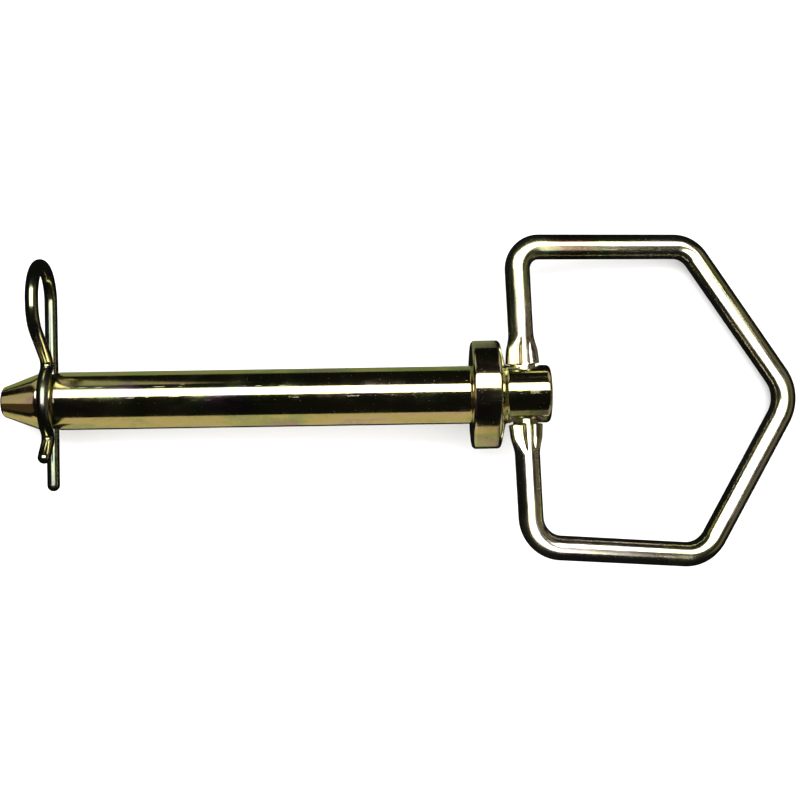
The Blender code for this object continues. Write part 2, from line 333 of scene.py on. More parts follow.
@dataclass(frozen=True)
class Signal:
    """A node's output socket.  Arithmetic on it adds Math nodes."""

    nodes: "Nodes"
    socket: bpy.types.NodeSocket

    def _maths(self, operation: str, first: Value, second: Value) -> "Signal":
        """The Math node that an operator stands for."""
        return self.nodes.node("ShaderNodeMath", {"operation": operation}, {0: first, 1: second})

    def __add__(self, other: Value) -> "Signal":
        """Sum."""
        return self._maths("ADD", self, other)

    def __radd__(self, other: Value) -> "Signal":
        """Sum, with the signal on the right."""
        return self._maths("ADD", other, self)

    def __sub__(self, other: Value) -> "Signal":
        """Difference."""
        return self._maths("SUBTRACT", self, other)

    def __rsub__(self, other: Value) -> "Signal":
        """Difference, with the signal on the right."""
        return self._maths("SUBTRACT", other, self)

    def __mul__(self, other: Value) -> "Signal":
        """Product."""
        return self._maths("MULTIPLY", self, other)

    def __rmul__(self, other: Value) -> "Signal":
        """Product, with the signal on the right."""
        return self._maths("MULTIPLY", other, self)


class Nodes:
    """A node tree, with the one way to add a node to it."""

    def __init__(self, tree: bpy.types.NodeTree) -> None:
        """Work on a tree that is there."""
        self.tree = tree

    def node(
        self, kind: str, settings: Mapping[str, object], inputs: Mapping[int | str, Value],
        output: int | str = 0,
    ) -> Signal:
        """Add one node.

        Args:
            kind: The node's type.
            settings: Its properties, set first; "stops" fills a colour ramp.
            inputs: A value or a signal for each input socket, by number or name.
            output: Which of its outputs is wanted.

        Returns:
            The signal of that output.
        """
        made = self.tree.nodes.new(kind)
        for name, setting in settings.items():
            if name == "stops":
                self._fill_ramp(made.color_ramp, setting)
            else:
                setattr(made, name, setting)
        for key, value in inputs.items():
            self.feed(made.inputs[key], value)
        return Signal(self, made.outputs[output])

    def feed(self, socket: bpy.types.NodeSocket, value: Value) -> None:
        """Link a signal to a socket, or set the socket's own value.

        Args:
            socket: The input socket.
            value: The signal, number, vector or colour.
        """
        if isinstance(value, Signal):
            self.tree.links.new(value.socket, socket)
        elif socket.type == "RGBA":
            socket.default_value = (*value, 1.0)
        else:
            socket.default_value = value

    @staticmethod
    def _fill_ramp(ramp: bpy.types.ColorRamp, stops: Sequence[tuple[float, Colour]]) -> None:
        """Give a colour ramp its stops.

        Args:
            ramp: The ramp, which has two stops so far.
            stops: Position and colour of each stop, from left to right.
        """
        ramp.interpolation = "EASE"
        while len(ramp.elements) < len(stops):
            ramp.elements.new(1.0)
        for element, (position, colour) in zip(ramp.elements, stops):
            element.position = position
            element.color = (*colour, 1.0)


@dataclass(frozen=True)
class Patches:
    """Soft noise over the unbent stock, and the smooth mask that can be cut from it.

    Args:
        scale: How many patches there are to a millimetre.
        detail: How many finer layers lie over them.
        cut: Where the mask leaves 0, and where it reaches 1.
        stretch: What the places along, across and out are multiplied by first.
    """

    scale: float
    detail: float
    cut: tuple[float, float] = (0.0, 1.0)
    stretch: Colour = (1.0, 1.0, 1.0)


class Shader(Nodes):
    """A material's node tree, with helpers for its patterns and colours."""

    def __init__(self, name: str) -> None:
        """Start a material that has only its Principled shader and output.

        Args:
            name: The material's name.
        """
        self.material = bpy.data.materials.new(name)
        self.material.use_nodes = True
        super().__init__(self.material.node_tree)
        self.principled = self.tree.nodes["Principled BSDF"]

    def attribute(self, name: str, output: int) -> Signal:
        """An attribute of the mesh: output 1 is its vector and 2 its number."""
        return self.node("ShaderNodeAttribute", {"attribute_name": name}, {}, output)

    def noise(self, stock: Signal, kind: Patches) -> Signal:
        """The patches' soft noise, mostly between 0.25 and 0.75.

        Args:
            stock: The place on the unbent stock, in millimetres.
            kind: Which patches.

        Returns:
            The noise.
        """
        place = self.node(
            "ShaderNodeVectorMath", {"operation": "MULTIPLY"}, {0: stock, 1: kind.stretch}
        )
        inputs = {"Vector": place, "Scale": kind.scale, "Detail": kind.detail, "Roughness": 0.55}
        return self.node("ShaderNodeTexNoise", {}, inputs)

    def between(self, value: Value, cut: tuple[float, float]) -> Signal:
        """A smooth mask: 0 up to where the cut starts, and 1 from where it ends."""
        inputs = {"Value": value, "From Min": cut[0], "From Max": cut[1]}
        return self.node("ShaderNodeMapRange", {"interpolation_type": "SMOOTHSTEP"}, inputs)

    def mask(self, stock: Signal, kind: Patches) -> Signal:
        """The mask that is cut from the patches' noise."""
        return self.between(self.noise(stock, kind), kind.cut)

    def mix(self, share: Value, first: Value, second: Value) -> Signal:
        """The first colour, with the second laid over it as far as share says."""
        settings = {"data_type": "RGBA", "blend_type": "MIX", "clamp_factor": True}
        return self.node("ShaderNodeMix", settings, {0: share, 6: first, 7: second}, 2)

    def bump(self, height: Signal, depth: float) -> Signal:
        """Normals of a height between 0 and 1 that stands for a depth in metres."""
        inputs = {"Strength": 1.0, "Distance": depth, "Height": height}
        return self.node("ShaderNodeBump", {}, inputs)


class ToolMarks(Enum):
    """The marks of making: fine rings from the lathe, or long lines from the drawing die."""

    TURNED = Patches(1.0, 3.0, stretch=(9.0, 0.10, 0.10))
    DRAWN = Patches(1.0, 3.0, stretch=(0.035, 5.0, 5.0))


ALONG_STOCK = (0.45, 1.0, 1.0)  # patches that are longer than they are wide
FILM_CUT = (0.28, 0.72)
MOTTLE = Patches(1.3, 2.0)
SMEAR = Patches(0.21, 4.0, (0.45, 0.68), ALONG_STOCK)
SCRATCH = Patches(1.0, 1.0, (0.655, 0.69), (0.05, 3.4, 3.4))
BROKEN = Patches(0.33, 2.0, (0.46, 0.62))  # the places where there are scratches
FLECK = Patches(2.6, 2.0, (0.70, 0.76))
WEAR = Patches(1.1, 4.0, (0.92, 1.25))
WEAR_RAGGED = 0.9  # how much of that noise is added to the rubbing
FLECK_TINT = 0.55  # how far a fleck takes on the speck's colour

# How much each pattern adds to the film's thickness, to the roughness and to the height.
THICKENS = {"film": 0.78, "marks": 0.16, "mottle": 0.18}
THINNEST = -0.06
ROUGHENS = {"marks": 0.05, "fleck": 0.25, "scratch": 0.12}
RAISES = {"marks": 0.5, "mottle": 0.35, "scratch": -0.6, "fleck": -0.5}


@dataclass(frozen=True)
class YellowZinc:
    """Bright yellow zinc plating on steel.

    The clear chromate film over the zinc is a little thicker here and thinner there, which
    tints it from straw through gold and pink to green.  Under it the marks of the lathe or
    of the drawing die show, over it handling leaves smears, scratches along the stock and
    small dull specks, and the edges are rubbed down to bare steel.

    Args:
        name: The material's name.
        marks: Which way the tool marks run.
        tints: Colours of the film, as (position, colour) stops from thin to thick.
        rubbed: Colour of the rubbed edges and the scratches.
        speck: Colour of the dull specks.
        tint_size: Size of the film's patches, in millimetres.
        roughness: Roughness where it is bright and where it is smeared.
        mark_depth: Depth of the tool marks, in metres.
        scratches: How strongly the scratches show, from 0 to 1.
    """

    name: str
    marks: ToolMarks
    tints: tuple[tuple[float, Colour], ...]
    rubbed: Colour = (0.78, 0.76, 0.70)
    speck: Colour = (0.16, 0.12, 0.07)
    tint_size: float = 9.0
    roughness: tuple[float, float] = (0.07, 0.15)
    mark_depth: float = 0.012 * MM
    scratches: float = 0.6

    def material(self) -> bpy.types.Material:
        """Build the plating's nodes.

        Returns:
            The finished material.
        """
        shader = Shader(self.name)
        stock = shader.attribute(STRAIGHT, 1)
        film = Patches(1 / self.tint_size, 3.0, FILM_CUT, ALONG_STOCK)
        patterns = {
            "film": shader.mask(stock, film),
            "marks": shader.noise(stock, self.marks.value),
            "mottle": shader.noise(stock, MOTTLE),
            "smear": shader.mask(stock, SMEAR),
            "scratch": shader.mask(stock, SCRATCH) * shader.mask(stock, BROKEN) * self.scratches,
            "fleck": shader.mask(stock, FLECK),
        }
        rub = shader.attribute(RUB, 2)
        worn = shader.between(rub + shader.noise(stock, WEAR) * WEAR_RAGGED, WEAR.cut)

        thickness = self._add_up(patterns, THICKENS, THINNEST)
        colour = shader.node("ShaderNodeValToRGB", {"stops": self.tints}, {0: thickness})
        colour = shader.mix(patterns["scratch"], colour, self.rubbed)
        colour = shader.mix(patterns["fleck"] * FLECK_TINT, colour, self.speck)
        colour = shader.mix(worn, colour, self.rubbed)
        bright, dull = self.roughness
        roughness = self._add_up(patterns, {"smear": dull - bright, **ROUGHENS}, bright)
        height = self._add_up(patterns, RAISES, 0.0)

        shader.principled.inputs["Metallic"].default_value = 1.0
        shader.feed(shader.principled.inputs["Base Color"], colour)
        shader.feed(shader.principled.inputs["Roughness"], roughness)
        shader.feed(shader.principled.inputs["Normal"], shader.bump(height, self.mark_depth))
        return shader.material

    @staticmethod
    def _add_up(
        patterns: Mapping[str, Signal], shares: Mapping[str, float], start: Value
    ) -> Value:
        """Add up patterns.

        Args:
            patterns: The patterns by name.
            shares: What each one that counts is multiplied by.
            start: What they are added to.

        Returns:
            The sum.
        """
        for name, share in shares.items():
            start = start + patterns[name] * share
        return start


PIN_ZINC = YellowZinc(
    name="turned_yellow_zinc",
    marks=ToolMarks.TURNED,
    tints=(
        (0.06, (0.62, 0.46, 0.42)),
        (0.26, (0.80, 0.68, 0.40)),
        (0.48, (0.76, 0.68, 0.32)),
        (0.68, (0.54, 0.60, 0.28)),
        (0.90, (0.54, 0.38, 0.42)),
    ),
)
HANDLE_ZINC = YellowZinc(
    name="drawn_yellow_zinc",
    marks=ToolMarks.DRAWN,
    tints=(
        (0.08, (0.88, 0.74, 0.70)),
        (0.34, (0.92, 0.86, 0.66)),
        (0.56, (0.84, 0.78, 0.46)),
        (0.74, (0.66, 0.72, 0.38)),
        (0.92, (0.62, 0.40, 0.26)),
    ),
    tint_size=12.0,
    roughness=(0.13, 0.21),
    mark_depth=0.008 * MM,
)
CLIP_ZINC = YellowZinc(
    name="spring_wire_yellow_zinc",
    marks=ToolMarks.DRAWN,
    tints=(
        (0.08, (0.70, 0.58, 0.54)),
        (0.30, (0.74, 0.70, 0.52)),
        (0.52, (0.62, 0.60, 0.34)),
        (0.70, (0.44, 0.52, 0.34)),
        (0.88, (0.42, 0.40, 0.36)),
    ),
    tint_size=5.0,
    roughness=(0.13, 0.24),
    mark_depth=0.006 * MM,
)


def dress(piece: bpy.types.Object, finish: YellowZinc) -> None:
    """Give a piece its finish."""
    piece.data.materials.append(finish.material())


# -------------------------------- the pin


@dataclass(frozen=True)
class CrossHole:
    """A round hole through the pin, across its axis.

    Args:
        middle: Where its axis crosses the pin's axis.
        radius: The hole's radius.
        window: Where the turned grid is left open for it: its ends along the pin.
        half_angle: Half the angle that the window takes of the pin's round, in degrees.
        rim: Radius of the broken edge at each mouth.
    """

    middle: float
    radius: float
    window: tuple[float, float]
    half_angle: float
    rim: float


@dataclass
class TurnedPin:
    """The forged and turned pin: tapered tip, shank, collar and head stub, with two cross holes."""

    axes: Axes
    head_end: float
    grip: float
    shank_radius: float = 6.35 * MM
    stub_radius: float = 6.35 * MM
    tip_beyond_hole: float = 10.7 * MM
    taper: float = 8.5 * MM
    tip_face_radius: float = 3.2 * MM
    tip_edge: float = 0.9 * MM
    taper_blend: float = 5.0 * MM
    collar_radius: float = 11.89 * MM
    collar_thickness: float = 6.2 * MM
    collar_back_rise: float = 1.3 * MM
    collar_edge: float = 0.9 * MM
    seat_fillet: float = 0.5 * MM
    back_fillet: float = 0.8 * MM
    stub_edge: float = 1.0 * MM
    bore_middle: float = 11.7 * MM
    bore_radius: float = 3.178 * MM
    bore_rim: float = 0.28 * MM
    bore_half_angle: float = 45.0
    bore_behind_collar: float = 0.64 * MM
    bore_before_edge: float = 0.02 * MM
    clip_hole_radius: float = 1.989 * MM
    clip_hole_rim: float = 0.22 * MM
    clip_hole_half_angle: float = 30.0
    clip_hole_border: float = 0.9 * MM
    rim_rub: float = 0.5
    edge_rub: float = 0.55
    segments: int = 192
    spacing: float = 0.75 * MM
    arc_step: float = 7.0
    mouth_rings: int = 7
    wall_rings: int = 9

    def outline(self) -> BentLine:
        """Lay out half the pin's silhouette.

        Returns:
            Places along the pin and radii, from the middle of its tip to that of its head end.
        """
        tip = -(self.grip + self.tip_beyond_hole)
        back = self.collar_thickness + self.collar_back_rise
        corners = (
            (tip, 0),
            (tip, self.tip_face_radius),
            (tip + self.taper, self.shank_radius),
            (0, self.shank_radius),
            (0, self.collar_radius),
            (self.collar_thickness, self.collar_radius),
            (back, self.stub_radius),
            (self.head_end, self.stub_radius),
            (self.head_end, 0),
        )
        radii = (
            self.tip_edge, self.taper_blend, self.seat_fillet, self.collar_edge,
            self.collar_edge, self.back_fillet, self.stub_edge,
        )
        return BentLine.through(corners, radii, self.arc_step)

    def holes(self) -> tuple[CrossHole, CrossHole]:
        """Lay out the cross holes.

        Returns:
            The handle's bore through the stub, and the clip's hole near the tip.
        """
        bore_start = self.collar_thickness + self.collar_back_rise + self.bore_behind_collar
        bore_end = self.head_end - self.stub_edge - self.bore_before_edge
        reach = self.clip_hole_radius + self.clip_hole_border
        return (
            CrossHole(
                self.bore_middle, self.bore_radius, (bore_start, bore_end),
                self.bore_half_angle, self.bore_rim,
            ),
            CrossHole(
                -self.grip, self.clip_hole_radius, (-self.grip - reach, -self.grip + reach),
                self.clip_hole_half_angle, self.clip_hole_rim,
            ),
        )

    def build(self) -> bpy.types.Object:
        """Turn the outline about the pin's axis, and join in the mouths and walls of its holes.

        A point of the turned grid is the outline's distance along the pin, and its radius
        times the sine across and times the cosine out.

        Returns:
            The pin's object.
        """
        line, holes = self.outline(), self.holes()
        ends = [
            np.interp(end, line.point[:, 0], line.length) for hole in holes for end in hole.window
        ]
        line = line.at(line.stations(self.spacing, ends))
        along, radius = line.point.T
        turn = 2 * np.pi * np.arange(self.segments) / self.segments
        local = np.stack([
            np.broadcast_to(along[:, None], (len(along), self.segments)),
            radius[:, None] * np.sin(turn),
            radius[:, None] * np.cos(turn),
        ], axis=-1)
        faces = grid_faces(len(along), self.segments)
        kept = np.ones(faces.shape[:2], bool)
        surface = Surface()
        for hole in holes:
            first, last = (int(np.argmin(abs(along - end))) for end in hole.window)
            half = round(hole.half_angle / 360 * self.segments)
            rims = []
            for side in (1, -1):
                centre = round(self.segments * (0.25 if side > 0 else 0.75))
                columns = (centre - half, centre + half)
                kept[first:last, columns[0]:columns[1]] = False
                rims.append(self._mouth(surface, hole, side, local, (first, last), columns))
            self._wall(surface, *rims)
        rub = self._rub(line)
        surface.add(self.axes.place(local), faces[kept], local, rub[:, None])
        return surface.weld("plated_pin")

    def _rub(self, line: BentLine) -> np.ndarray:
        """How much each station is rubbed: most at the sharp outer edges."""
        tight = np.gradient(line.heading, line.length, edge_order=1)
        return np.clip(-tight * self.collar_edge, 0, 1) * self.edge_rub

    def _height(self, along: np.ndarray, out: np.ndarray) -> np.ndarray:
        """How far across the turned surface lies.

        It is the root of the outline's radius squared less the distance out squared.

        Args:
            along: Places along the pin.
            out: Distances out.

        Returns:
            Distances across.
        """
        line = self.outline()
        radius = np.interp(along, line.point[:, 0], line.point[:, 1])
        return np.sqrt(np.maximum(radius**2 - out**2, 0))

    def _mouth(
        self, surface: Surface, hole: CrossHole, side: int, grid: np.ndarray,
        rows: tuple[int, int], columns: tuple[int, int],
    ) -> np.ndarray:
        """Fill a window of the turned grid around a hole's mouth.

        Rings run from the window's edge to the hole: straight lines towards the hole's
        middle as far as the rim, then the quarter circle of the broken edge, each point
        lifted to the turned surface less the depth of the rim's arc.

        Args:
            surface: What the mouth is added to.
            hole: The hole.
            side: 1 for the mouth that faces across, -1 for the other.
            grid: The turned grid's points, in the pin's axes.
            rows: The grid's first and last row of points around the window.
            columns: Its first and last column of points around the window.

        Returns:
            The ring of points where the mouth ends and the wall starts.
        """
        (first, last), (low, high) = rows, columns
        edge = np.concatenate([
            grid[first:last, low],
            grid[last, low:high],
            grid[first + 1:last + 1, high][::-1],
            grid[first, low + 1:high + 1][::-1],
        ])
        from_middle = edge[:, (0, 2)] - (hole.middle, 0)
        bearing = np.arctan2(from_middle[:, 1], from_middle[:, 0])
        spoke = np.stack([np.cos(bearing), np.sin(bearing)], axis=1)
        outer = np.linalg.norm(from_middle, axis=1)
        share = np.linspace(0, 1, self.mouth_rings)[:, None]
        run = outer + (hole.radius + hole.rim - outer) * share
        arc = share[1:] * np.pi / 2
        curl = hole.radius + hole.rim * (1 - np.sin(arc)) + 0 * outer
        reach = np.concatenate([run, curl])
        sunk = np.concatenate([0 * run, hole.rim * (1 - np.cos(arc)) + 0 * curl])
        along = hole.middle + reach * spoke[:, 0]
        out = reach * spoke[:, 1]
        across = (self._height(along, out) - sunk) * side
        local = np.stack([along, across, out], axis=-1)
        rub = np.where(sunk > 0, self.rim_rub, 0.0)
        surface.add(self.axes.place(local), grid_faces(*local.shape[:2]), local, rub)
        return local[-1]

    def _wall(self, surface: Surface, near: np.ndarray, far: np.ndarray) -> None:
        """Add a hole's wall: straight lines from the rim of one mouth to that of the other.

        Args:
            surface: What the wall is added to.
            near: One mouth's ring of points.
            far: The other's.
        """
        share = np.linspace(0, 1, self.wall_rings)[:, None, None]
        local = near + (far - near) * share
        surface.add(self.axes.place(local), grid_faces(*local.shape[:2]), local, 0.0)


# -------------------------------- the wires


@dataclass
class WireHandle:
    """The handle: one bent wire whose ends turn in the bore, pinched to an ear beside each."""

    axes: Axes
    wire_radius: float = 2.77 * MM
    butt_gap: float = 0.8 * MM
    root: tuple[float, float] = (32.4 * MM, -33.6 * MM)
    shoulder_reach: float = 40.5 * MM
    shoulder: tuple[float, float] = (31.24 * MM, -38.73 * MM)
    apex: tuple[float, float] = (63.92 * MM, -3.75 * MM)
    bends: tuple[float, ...] = (5.0 * MM, 6.8 * MM, 8.6 * MM, 7.8 * MM, 7.3 * MM)
    ear_start: float = 6.50 * MM
    ear_length: float = 7.0 * MM
    ear_width: float = 7.5 * MM
    ear_outer_width: float = 6.2 * MM
    ear_thickness: float = 3.3 * MM
    ear_shoulder: float = 0.22 * MM
    ear_fade: float = 0.60
    ear_squareness: float = 0.6
    crown: float = 1.06 * MM
    crown_half: float = 0.20
    crown_fall: float = 0.13
    groove: float = 0.22 * MM
    groove_place: float = 0.36
    groove_reach: float = 0.05
    ear_rub: float = 0.5
    bend_rub: float = 0.12
    sides: int = 96
    spacing: float = 0.8 * MM
    ear_stations: int = 40

    def line(self) -> BentLine:
        """Lay out the wire's centre line.

        Returns:
            Reach from the bore and place along it, from one end of the wire to the other.
        """
        corners = (
            (0, self.butt_gap / 2),
            (0, self.root[0]),
            (self.shoulder_reach, self.shoulder[0]),
            self.apex,
            (self.shoulder_reach, self.shoulder[1]),
            (0, self.root[1]),
            (0, -self.butt_gap / 2),
        )
        return BentLine.through(corners, self.bends)

    def build(self) -> bpy.types.Object:
        """Carry the wire's section along its centre line.

        Away from the ears the section is a circle.  In an ear it is as wide as the ear and
        flat, with rounded sides, a crown along its middle and a groove on each side of it.

        Returns:
            The handle's object.
        """
        line = self.line()
        near = np.linspace(self.ear_start, self.ear_start + self.ear_length, self.ear_stations)
        near = near - self.butt_gap / 2
        line = line.at(line.stations(self.spacing, [*near, *(line.total - near)]))
        from_bore = np.minimum(line.length, line.total - line.length) + self.butt_gap / 2
        share = (from_bore - self.ear_start) / self.ear_length
        inside = (share > 0) & (share < 1)
        rise = np.clip(share * self.ear_length / self.ear_shoulder, 0, 1)
        pinch = np.where(inside, rise * ease((1 - share) / self.ear_fade), 0)[:, None]
        flare = self.ear_width + (self.ear_outer_width - self.ear_width) * np.clip(share, 0, 1)
        half_width = self.wire_radius + (flare[:, None] / 2 - self.wire_radius) * pinch
        half_thick = self.wire_radius + (self.ear_thickness / 2 - self.wire_radius) * pinch

        angle = 2 * np.pi * np.arange(self.sides) / self.sides
        power = 1 - self.ear_squareness * pinch
        face = np.cos(angle)
        across = half_width * face
        raised = 1 - ease((abs(face) - self.crown_half) / self.crown_fall)
        sunk = swell(abs(face), self.groove_place, self.groove_reach)
        ridge = self.crown * raised - self.groove * sunk
        lift = np.sign(np.sin(angle)) * abs(np.sin(angle)) ** power
        out = lift * (half_thick + pinch * ridge)
        grain = line.length[:, None] + 0 * across
        rub = self.ear_rub * pinch * swell(abs(face), 1, 0.2)
        rub = rub + self.bend_rub * line.bend[:, None] * (face < 0)
        return swept_wire("wire_handle", line, across, out, grain, rub, self._local_to_frame)

    def _local_to_frame(self, flat: np.ndarray, out: np.ndarray) -> np.ndarray:
        """Points of the handle's own plane, at a height out of it, in the frame."""
        return self.axes.place(np.concatenate([flat, out[..., None]], axis=-1))


@dataclass
class HairpinClip:
    """The clip: one piece of spring wire, with a straight leg, a round loop and a hugging leg."""

    axes: Axes
    station: float
    shank_radius: float = 6.35 * MM
    face_gap: float = 0.3 * MM
    wire_radius: float = 1.385 * MM
    leg_beyond_pin: float = 19.8 * MM
    loop_radius: float = 7.6 * MM
    loop_height: float = 29.1 * MM
    return_slope: float = 54.5
    throat_radius: float = 2.0 * MM
    hug_angle: float = 104.0
    flare_slope: float = 45.0
    flare_length: float = 7.4 * MM
    bend_rub: float = 0.2
    end_rub: float = 0.3
    sides: int = 36
    spacing: float = 0.5 * MM
    end_rings: int = 9

    def line(self) -> BentLine:
        """Lay out the wire's centre line across the pin.

        Returns:
            Place along the hole and height above it, from the straight leg's end to the other.
        """
        top = 2 * self.loop_radius
        half, back, flare = np.radians([self.hug_angle / 2, self.return_slope, self.flare_slope])
        hug = self.shank_radius + self.face_gap + self.wire_radius
        hug_end = np.array([np.sin(half), np.cos(half)]) * hug
        downhill = np.array([np.cos(half), -np.sin(half)])
        throat = hug_end + downhill * self.throat_radius * np.tan((half + back) / 2)
        lower = hug_end + downhill * self.throat_radius * np.tan((half + flare) / 2)
        lower *= (-1, 1)
        corners = (
            (-self.leg_beyond_pin, 0),
            (self.loop_height, 0),
            (self.loop_height, top),
            (throat[0] + (top - throat[1]) / np.tan(back), top),
            throat,
            (0, hug / np.cos(half)),
            lower,
            lower + np.array([-np.cos(flare), np.sin(flare)]) * self.flare_length,
        )
        loop, throat_bend = self.loop_radius, self.throat_radius
        return BentLine.through(corners, (loop, loop, loop, throat_bend, hug, throat_bend))

    def build(self) -> bpy.types.Object:
        """Carry a circle along the centre line, shrinking to a half ball at each end.

        Near an end the circle's radius is the root of the wire's radius squared less the
        square of what is left of that radius.

        Returns:
            The clip's object.
        """
        line = self.line()
        cap = self.wire_radius * (1 - np.cos(np.linspace(0, np.pi / 2, self.end_rings)))
        line = line.at(line.stations(self.spacing, [*cap, *(line.total - cap)]))
        from_end = np.minimum(line.length, line.total - line.length)
        short = self.wire_radius - np.minimum(from_end, self.wire_radius)
        radius = np.sqrt(self.wire_radius**2 - short**2)[:, None]
        angle = 2 * np.pi * np.arange(self.sides) / self.sides
        grain = line.length[:, None] + 0 * angle
        rub = self.bend_rub * line.bend[:, None] * (np.cos(angle) > 0.3)
        rub = rub + self.end_rub * (short[:, None] > 0)
        return swept_wire(
            "hairpin_clip", line, radius * np.cos(angle), radius * np.sin(angle), grain, rub,
            self._local_to_frame,
        )

    def _local_to_frame(self, flat: np.ndarray, out: np.ndarray) -> np.ndarray:
        """Points of the clip's own plane, at a distance along the pin from it, in the frame."""
        local = np.stack([self.station + out, flat[..., 0], flat[..., 1]], axis=-1)
        return self.axes.place(local)

    def height(self, out: float) -> np.ndarray:
        """A point of the frame above the clip's straight leg, by height."""
        return self.axes.place(np.array([self.station, self.loop_height, out]))


def swept_wire(
    name: str, line: BentLine, across: np.ndarray, out: np.ndarray, grain: np.ndarray,
    rub: np.ndarray, place: Callable[[np.ndarray, np.ndarray], np.ndarray],
) -> bpy.types.Object:
    """A wire's surface: each section stands square to the centre line's direction of travel.

    A point is the line's own point plus across times the unit vector to the right of the
    direction of travel, at the height out of the line's plane.

    Args:
        name: The piece's name.
        line: The centre line, with one station for each section.
        across: Each section point's distance to the right, one row for each station.
        out: Each section point's height out of the plane.
        grain: Distance along the unbent wire of each point.
        rub: How much each point is rubbed.
        place: Puts a point of the plane and its height into the frame.

    Returns:
        The wire's object.
    """
    right = np.stack([np.sin(line.heading), -np.cos(line.heading)], axis=1)
    flat = line.point[:, None] + right[:, None] * across[..., None]
    out = np.broadcast_to(out, across.shape)
    surface = Surface()
    straight = np.stack([grain, across, out], axis=-1)
    surface.add(place(flat, out), grid_faces(*across.shape), straight, rub)
    for row, end in ((0, flat[:1].mean(axis=1)), (-1, flat[-1:].mean(axis=1))):
        rim, rim_out = flat[row], out[row]
        share = np.array([0.0, 0.5, 1.0])[:, None]
        cap = rim + (end - rim) * share[..., None]
        cap_out = rim_out * (1 - share)
        stock = straight[row] * np.stack([1 + 0 * share, 1 - share, 1 - share], axis=-1)
        surface.add(place(cap, cap_out), grid_faces(3, len(rim)), stock, WIRE_END_RUB)
    return surface.weld(name)


# -------------------------------- the studio


WHITE = (1.0, 1.0, 1.0)
WARM_WHITE = (1.0, 0.92, 0.72)
CREAM = (1.0, 0.90, 0.70)
GOLD = (1.0, 0.87, 0.58)
AMBER = (1.0, 0.86, 0.50)
BROWN = (1.0, 0.62, 0.30)
LIME = (0.85, 1.0, 0.50)


class LitBy(Enum):
    """Which piece a soft box reaches, where flags keep it off the others."""

    ALL = "all"
    PIN = "pin"
    HANDLE = "handle"
    CLIP = "clip"


@dataclass(frozen=True)
class SoftBox:
    """A soft area light that looks at the pin.

    Args:
        name: The light's name.
        tilt: Angle of its middle from straight out, towards the clip's loop, in degrees.
        lean: Angle of its middle towards the handle, in degrees.
        width: Its size across the pin, in metres.
        length: Its size along the pin, in metres.
        glow: How bright its surface looks, where 1 is white.
        colour: Its colour.
        shift: How far it is moved along the pin, in metres.
        reaches: Which piece it reaches.
    """

    name: str
    tilt: float
    lean: float
    width: float
    length: float
    glow: float
    colour: Colour = WHITE
    shift: float = 0.0
    reaches: LitBy = LitBy.ALL


